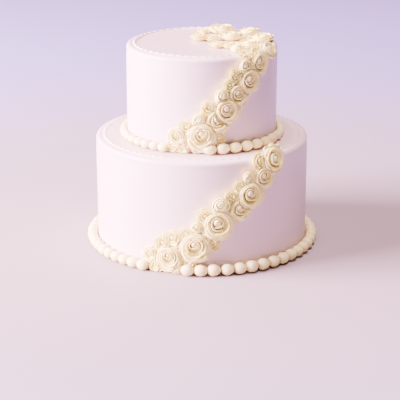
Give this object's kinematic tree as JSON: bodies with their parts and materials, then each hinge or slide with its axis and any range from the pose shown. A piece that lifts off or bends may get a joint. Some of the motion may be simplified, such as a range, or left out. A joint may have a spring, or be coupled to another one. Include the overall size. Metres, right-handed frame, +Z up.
{
  "type": "tiered wedding cake",
  "caption": "Round tiered wedding cake in pale satin icing, with piped pearl borders and a slanting cascade of sugar roses, rosebuds and small blossoms.",
  "frame": {"origin": "middle of the lower tier's flat underside, on the surface that the cake stands on", "axes": "+Z up along the tiers' common axis; -Y is the front, where the cascade of flowers runs from lower left to upper right; +X to the right as seen from the front"},
  "size_m": [0.2391, 0.2396, 0.2144],
  "materials": {
    "icing": "smooth satin icing, off-white with a faint cool pink",
    "piping": "piped buttercream, warm ivory, satin",
    "rose_petals": "sugar petals, ivory, satin, deeper cream between the petals",
    "filler_petals": "sugar buds and small blossoms, pale cream, satin"
  },
  "bodies": {
    "root": {"lower_blossom_1": "filler_petals", "lower_blossom_10": "filler_petals", "lower_blossom_11": "filler_petals", "lower_blossom_2": "filler_petals", "lower_blossom_3": "filler_petals", "lower_blossom_4": "filler_petals", "lower_blossom_5": "filler_petals", "lower_blossom_6": "filler_petals", "lower_blossom_7": "filler_petals", "lower_blossom_8": "filler_petals", "lower_blossom_9": "filler_petals", "lower_border": "piping", "lower_bud_1": "filler_petals", "lower_bud_2": "filler_petals", "lower_bud_3": "filler_petals", "lower_bud_4": "filler_petals", "lower_rose_1": "rose_petals", "lower_rose_2": "rose_petals", "lower_rose_3": "rose_petals", "lower_rose_4": "rose_petals", "lower_rose_5": "rose_petals", "lower_rose_6": "rose_petals", "lower_rose_7": "rose_petals", "lower_rose_8": "rose_petals", "lower_tier": "icing", "top_blossom_1": "filler_petals", "top_blossom_2": "filler_petals", "top_blossom_3": "filler_petals", "top_blossom_4": "filler_petals", "top_blossom_5": "filler_petals", "top_blossom_6": "filler_petals", "top_bud_1": "filler_petals", "top_rose_1": "rose_petals", "top_rose_2": "rose_petals", "top_rose_3": "rose_petals", "top_rose_4": "rose_petals", "top_rose_5": "rose_petals", "upper_blossom_1": "filler_petals", "upper_blossom_10": "filler_petals", "upper_blossom_2": "filler_petals", "upper_blossom_3": "filler_petals", "upper_blossom_4": "filler_petals", "upper_blossom_5": "filler_petals", "upper_blossom_6": "filler_petals", "upper_blossom_7": "filler_petals", "upper_blossom_8": "filler_petals", "upper_blossom_9": "filler_petals", "upper_border": "piping", "upper_bud_1": "filler_petals", "upper_bud_2": "filler_petals", "upper_bud_3": "filler_petals", "upper_rose_1": "rose_petals", "upper_rose_2": "rose_petals", "upper_rose_3": "rose_petals", "upper_rose_4": "rose_petals", "upper_rose_5": "rose_petals", "upper_rose_6": "rose_petals", "upper_rose_7": "rose_petals", "upper_rose_8": "rose_petals", "upper_tier": "icing"}
  },
  "joints": []
}
